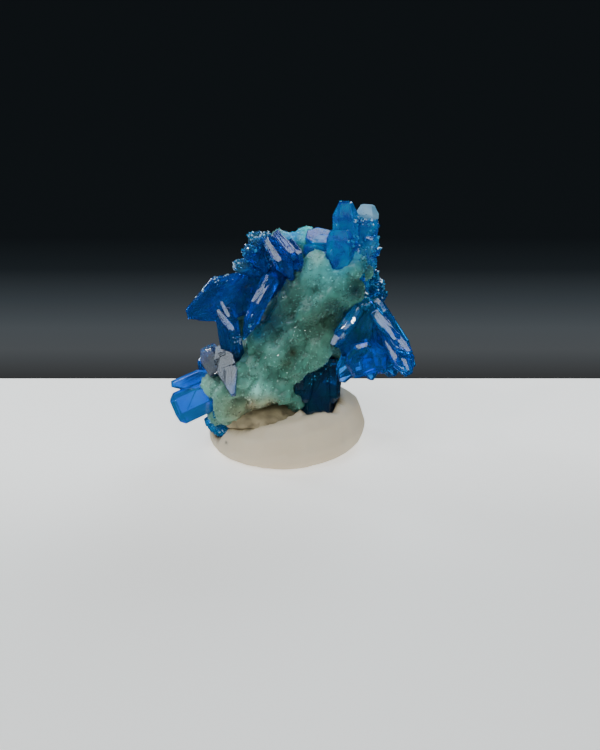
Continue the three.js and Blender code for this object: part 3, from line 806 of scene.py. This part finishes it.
def rock_piece(material):
    """Rough brown rock, greenish where it meets the crust."""
    obj = remeshed(object_in_mm("rock_looks", cad_copy("matrix_rock")), ROCK_VOXEL)
    points = points_of(obj.data)
    normals = normals_of(obj.data)
    rough = waves(points, 0.7, 6) * 0.08 + waves(points, 0.17, 7) * 0.03 + 0.06
    points = points + normals * rough[:, None]
    move_points(obj.data, points)
    colours = np.tile(np.array(ROCK_BROWN), (len(points), 1))
    colours = blend(colours, ROCK_OCHRE, 0.5 + waves(points, 0.8, 8))
    colours = blend(colours, ROCK_STAIN, 0.5 * np.clip(waves(points, 0.4, 9) * 2.2 - 0.5, 0, 1))
    x, rise = on_view(points)
    colours = blend(colours, ROCK_GREENISH, 1.2 * (rise - 0.28 * x - 3.2))
    # painted shade of a small pit in the rock
    colours = blend(colours, ROCK_PIT_SHADE, soft_spot(x, rise, (-2.45, 2.75), 0.03))
    paint(obj.data, colours)
    return as_piece(obj, material, "matrix_rock", "matrix_rock")


def hug(points, normals, trees):
    """Draws the points that face the stone closely up to it."""
    drawn = points.copy()
    for index, (point, normal) in enumerate(zip(points, normals)):
        start = Vector(point)
        hits = [tree.find_nearest(start, HUG_REACH) for tree in trees]
        hits = [hit for hit in hits if hit[0] is not None]
        if not hits:
            continue
        place, _, _, distance = min(hits, key=lambda hit: hit[3])
        toward = (place - start).normalized()
        facing = min(max(2 * toward.dot(Vector(normal)), 0), 1)
        share = min(2 * (1 - distance / HUG_REACH), 1)
        drawn[index] += np.array(toward) * max(distance - HUG_GAP, 0) * share * facing
    return drawn


def gap(point, trees):
    """How far a point is from the nearest solid, up to the reach of the painted contact shade."""
    return min([tree.find_nearest(point, CONTACT_REACH)[3] or CONTACT_REACH for tree in trees])


def putty_piece(material, trees):
    """Softly uneven putty, drawn up to the stone, with painted shade where they meet."""
    obj = remeshed(object_in_mm("putty_looks", cad_copy("mounting_putty")), PUTTY_VOXEL, PUTTY_ROUNDS)
    points = points_of(obj.data)
    normals = normals_of(obj.data)
    lift = PUTTY_SWELL + 0.07 * waves(points, 2.2, 12) + 0.02 * waves(points, 0.6, 13)
    points = hug(points + normals * lift[:, None], normals, trees)
    points[:, 2] = np.maximum(points[:, 2], 0)
    move_points(obj.data, points)
    x, rise = on_view(points)
    colours = np.tile(np.array(PUTTY_PALE), (len(points), 1))
    colours = blend(colours, PUTTY_DULL, 0.4 + 0.6 * waves(points, 3, 14))
    near = np.array([gap(Vector(p), trees) for p in points])
    # painted shade: darker towards the stone, darkest right beside it
    colours = blend(colours, PUTTY_CONTACT_SHADE, (1 - near / CONTACT_REACH) ** 2)
    colours = blend(colours, PUTTY_CREASE_SHADE, np.exp(-(near / CREASE_REACH) ** 2))
    colours = blend(colours, PUTTY_SPECK, soft_spot(x, rise, (-4.85, -0.15), 0.01))
    paint(obj.data, colours)
    return as_piece(obj, material, "putty", "mounting_putty")


# Stage, lights and camera

FLOOR_SIDE = 120  # mm from the middle to the front and side edges
FLOOR_BACK = 13  # mm to the back edge, the horizon of the front view
FLOOR_DROP = 0.02  # mm below the putty
FLOOR_GLOW = (0.45, 0.85)  # in front and at the back
FLOOR_GLOW_FROM = -22  # mm, the depth where the glow starts to grow, up to the middle

BACKDROP_SIDE = 200  # mm
BACKDROP_RISE = 160
BACKDROP_Y = 150
BACKDROP_SPAN = (-0.065, 0.005)  # m, the heights between which it changes

# Its brightness from the bottom of that span to the top
BACKDROP_STOPS = [
    (0.0, 0.02),
    (0.1, 0.045),
    (0.2, 0.082),
    (0.28, 0.08),
    (0.385, 0.048),
    (0.49, 0.017),
    (0.6, 0.009),
    (1.0, 0.0085),
]


def plain_stage(name, corners, material):
    """A flat board that is no part of the specimen."""
    mesh = bpy.data.meshes.new(name)
    mesh.from_pydata([Vector(c) * MM for c in corners], [], [(0, 1, 2, 3)])
    obj = bpy.data.objects.new(name, mesh)
    bpy.context.scene.collection.objects.link(obj)
    mesh.materials.append(material)
    return obj


def floor():
    """A pale slab that glows more towards the back; the crystals' faces don't mirror it."""
    material, shader = principled("floor", Base_Color=(0.75, 0.75, 0.73), Roughness=0.8)
    shader.inputs["Emission Color"].default_value = (1, 1, 0.98, 1)
    where = node(material, "ShaderNodeTexCoord")
    split = node(material, "ShaderNodeSeparateXYZ")
    glow = node(material, "ShaderNodeMapRange", interpolation_type="SMOOTHSTEP")
    glow.inputs["From Min"].default_value = FLOOR_GLOW_FROM * MM
    glow.inputs["From Max"].default_value = 0
    glow.inputs["To Min"].default_value = FLOOR_GLOW[0]
    glow.inputs["To Max"].default_value = FLOOR_GLOW[1]
    link(material, where.outputs["Object"], split.inputs["Vector"])
    link(material, split.outputs["Y"], glow.inputs["Value"])
    link(material, glow.outputs["Result"], shader.inputs["Emission Strength"])
    side, back = FLOOR_SIDE, FLOOR_BACK
    ring = [(-side, -side), (side, -side), (side, back), (-side, back)]
    slab = plain_stage("floor", [(x, y, -FLOOR_DROP) for x, y in ring], material)
    slab.visible_glossy = False
    return slab


def backdrop():
    """A dark board with a grey band of light behind the specimen."""
    material = bpy.data.materials.new("backdrop")
    material.use_nodes = True
    nodes = material.node_tree.nodes
    nodes.clear()
    where = node(material, "ShaderNodeTexCoord")
    split = node(material, "ShaderNodeSeparateXYZ")
    spread = node(material, "ShaderNodeMapRange")
    spread.inputs["From Min"].default_value = BACKDROP_SPAN[0]
    spread.inputs["From Max"].default_value = BACKDROP_SPAN[1]
    ramp = node(material, "ShaderNodeValToRGB")
    glow = node(material, "ShaderNodeEmission")
    output = node(material, "ShaderNodeOutputMaterial")
    ramp.color_ramp.elements[0].position = 0
    ramp.color_ramp.elements[1].position = 1
    for place, _ in BACKDROP_STOPS[1:-1]:
        ramp.color_ramp.elements.new(place)
    for stop, (place, value) in zip(ramp.color_ramp.elements, BACKDROP_STOPS):
        blue = min(place / 0.5, 1)
        stop.color = (value * (1 - 0.25 * blue), value, value * (1 + 0.2 * blue), 1)
    link(material, where.outputs["Object"], split.inputs["Vector"])
    link(material, split.outputs["Z"], spread.inputs["Value"])
    link(material, spread.outputs["Result"], ramp.inputs["Fac"])
    link(material, ramp.outputs["Color"], glow.inputs["Color"])
    link(material, glow.outputs["Emission"], output.inputs["Surface"])
    side, rise = BACKDROP_SIDE, BACKDROP_RISE
    ring = [(-side, -rise), (side, -rise), (side, rise), (-side, rise)]
    return plain_stage("backdrop", [(x, BACKDROP_Y, z) for x, z in ring], material)


def area_light(name, direction, distance, size, radiance, colour):
    """A square light at a distance in mm from the stone, facing it, of a given radiance."""
    data = bpy.data.lights.new(name, "AREA")
    data.size = size * MM
    data.energy = radiance * math.pi * (size * MM) ** 2
    data.color = colour
    light = bpy.data.objects.new(name, data)
    bpy.context.scene.collection.objects.link(light)
    heading = Vector(direction).normalized()
    light.location = (Vector((0, 0, 9)) + heading * distance) * MM
    light.rotation_euler = heading.to_track_quat("Z", "Y").to_euler()
    return light


def lights():
    """A soft key from above, a small bright spark, and panels for the faces and the rims."""
    area_light("key", (-0.18, -0.35, 0.92), 150, 75, 4.6, (0.84, 0.92, 1.0))
    area_light("spark", SPARK_FROM, 150, 8, 140.0, (1.0, 0.98, 0.95))
    area_light("edge", (-0.77, 0.41, 0.51), 150, 30, 30, (0.85, 0.95, 1.0))
    area_light("left_panel", (-0.62, -0.5, 0.55), 150, 45, 1.6, (0.9, 0.95, 1.0))
    area_light("rim", (0.35, 0.75, 0.55), 150, 70, 8.0, (0.75, 0.9, 1.0))
    fill = area_light("fill", (0.15, -0.8, 0.6), 170, 120, 2.6, (1.0, 0.99, 0.96))
    fill.visible_glossy = False
    world = bpy.data.worlds.new("dim room")
    world.use_nodes = True
    world.node_tree.nodes["Background"].inputs["Color"].default_value = (0.9, 0.95, 1.0, 1)
    world.node_tree.nodes["Background"].inputs["Strength"].default_value = 0.06
    bpy.context.scene.world = world


def camera():
    """The camera of the front view."""
    data = bpy.data.cameras.new("front")
    data.sensor_fit = "HORIZONTAL"
    data.sensor_width = SENSOR_WIDTH
    data.lens = SENSOR_WIDTH * VIEW_DISTANCE / PICTURE_WIDTH
    data.clip_start = 0.001
    data.clip_end = 5
    obj = bpy.data.objects.new("front", data)
    obj.location = EYE * MM
    obj.rotation_euler = TO_EYE.to_track_quat("Z", "Y").to_euler()
    bpy.context.scene.collection.objects.link(obj)
    bpy.context.scene.camera = obj


# The specimen

PALE = crystal_material(
    "pale_crystal", [(0.02, 0.4, 0.85), (0.1, 0.55, 0.95)], (0.1, 0.6, 0.95), density=300, clearness=0.5
)
# whitish for the flat sprouts, partly frosted and partly a painted highlight
WHITISH = crystal_material(
    "whitish_crystal", [(0.3, 0.6, 0.85), (0.6, 0.8, 0.95)], (0.5, 0.8, 0.95), density=200, clearness=0.3
)
# pale, partly frosted and partly painted light from behind, for the end of the second crystal from the top
FROSTED_AND_LIT = crystal_material(
    "frosted_lit_crystal", [(0.2, 0.6, 0.9), (0.35, 0.75, 1.0)], (0.3, 0.6, 0.9), density=200, clearness=0.4,
    roughness=0.3, lean=0.3,
)
BLUE = crystal_material(
    "blue_crystal", [(0.0, 0.29, 0.88), (0.0, 0.4, 0.93)], (0.0, 0.37, 0.92), density=1100, clearness=0.92
)
FAN = crystal_material(
    "fan_crystal", [(0.0, 0.27, 0.78), (0.0, 0.45, 0.93)], (0.0, 0.42, 0.92), density=1150, clearness=0.88,
    washes=[(seen(6.0, 10.3, -2.0), 2.4, (0.02, 0.55, 0.9))],
)
UPPER_LEFT = crystal_material(
    "upper_left_crystal", [(0.0, 0.2, 0.82), (0.0, 0.38, 0.93)], (0.0, 0.34, 0.92), density=1200,
    clearness=0.9,
    washes=[
        (seen(-4.0, 14.8, -1.0), 1.2, (0.2, 0.7, 0.95)),
        (seen(-3.2, 16.6, -1.0), 1.3, (0.2, 0.7, 0.95)),
        (seen(-1.8, 17.2, -1.0), 1.0, (0.2, 0.7, 0.95)),
    ],
)
STEEL = crystal_material(
    "left_crystal", [(0.0, 0.16, 0.6), (0.0, 0.28, 0.75)], (0.0, 0.36, 0.85), density=1100, clearness=0.85,
    roughness=0.16, lean=0.6,
    washes=[(seen(-5.4, 5.6, -2.8), 2.4, (0.04, 0.11, 0.18))],
)
AZURE = crystal_material(
    "azure_crystal", [(0.0, 0.38, 0.9), (0.02, 0.46, 0.95)], (0.0, 0.4, 0.93), density=1700, clearness=0.75,
    roughness=0.12, lean=0.1,
    washes=[
        (seen(-7.7, 5.2, -1.5), 1.5, (0.0, 0.2, 0.55)),
        (seen(-7.4, 3.9, -2.4), 1.2, (0.05, 0.53, 1.0)),
    ],
)
NAVY = crystal_material(
    "navy_crystal", [(0.005, 0.08, 0.3), (0.01, 0.18, 0.36)], (0.02, 0.33, 0.62), density=1000,
    clearness=0.85, lean=0.5,
)
CLOUDY = crystal_material(
    "cloudy_crystal", [(0.0, 0.13, 0.7), (0.0, 0.47, 1.0)], (0.0, 0.46, 0.95), density=550, clearness=0.65,
    roughness=0.14, lean=0.5,
    washes=[
        (seen(6.9, 17.3, -1.5), 1.3, (0.1, 0.58, 0.97)),
        (seen(7.2, 15.4, -1.5), 1.3, (0.1, 0.58, 0.97)),
    ],
)

# What the crystals are made of, where it isn't BLUE
OTHERS = {
    "lower_left_prism": AZURE,
    "left_prisms": STEEL,
    "top_crystals": CLOUDY,
    "upper_left_crystals": UPPER_LEFT,
    "base_crystal": NAVY,
    "foot_crystals": AZURE,
    "right_fan_crystals": FAN,
}


def solids(nodes):
    """Search trees of CAD nodes in mm."""
    trees = []
    for name in nodes:
        bm = cad_copy(name)
        trees.append(BVHTree.FromBMesh(bm))
        bm.free()
    return trees


blues = solids(CRYSTAL_NODES)
crust = crust_piece()
grains = druse_piece(crust, blues)
as_piece(crust, crust_material("crust", roughness=0.4, weight=0.8), "green_crust", "green_crust")
as_piece(grains, crust_material("grains", roughness=0.2, weight=0.4), "green_crust", smooth=False)
for seed, name in enumerate(CRYSTAL_NODES, 1):
    crystals(name, OTHERS.get(name, BLUE), seed)
sprout_pieces(PALE, WHITISH)
pale_tip(FROSTED_AND_LIT)
rock_piece(earthy_material("rock", roughness=0.85, weight=0.0, reach=0.1 * MM))
stones = solids(["matrix_rock", "green_crust", "base_crystal", "foot_crystals"])
putty_piece(earthy_material("putty", roughness=0.5, weight=0.35, reach=MM), stones)

floor()
backdrop()
lights()
camera()
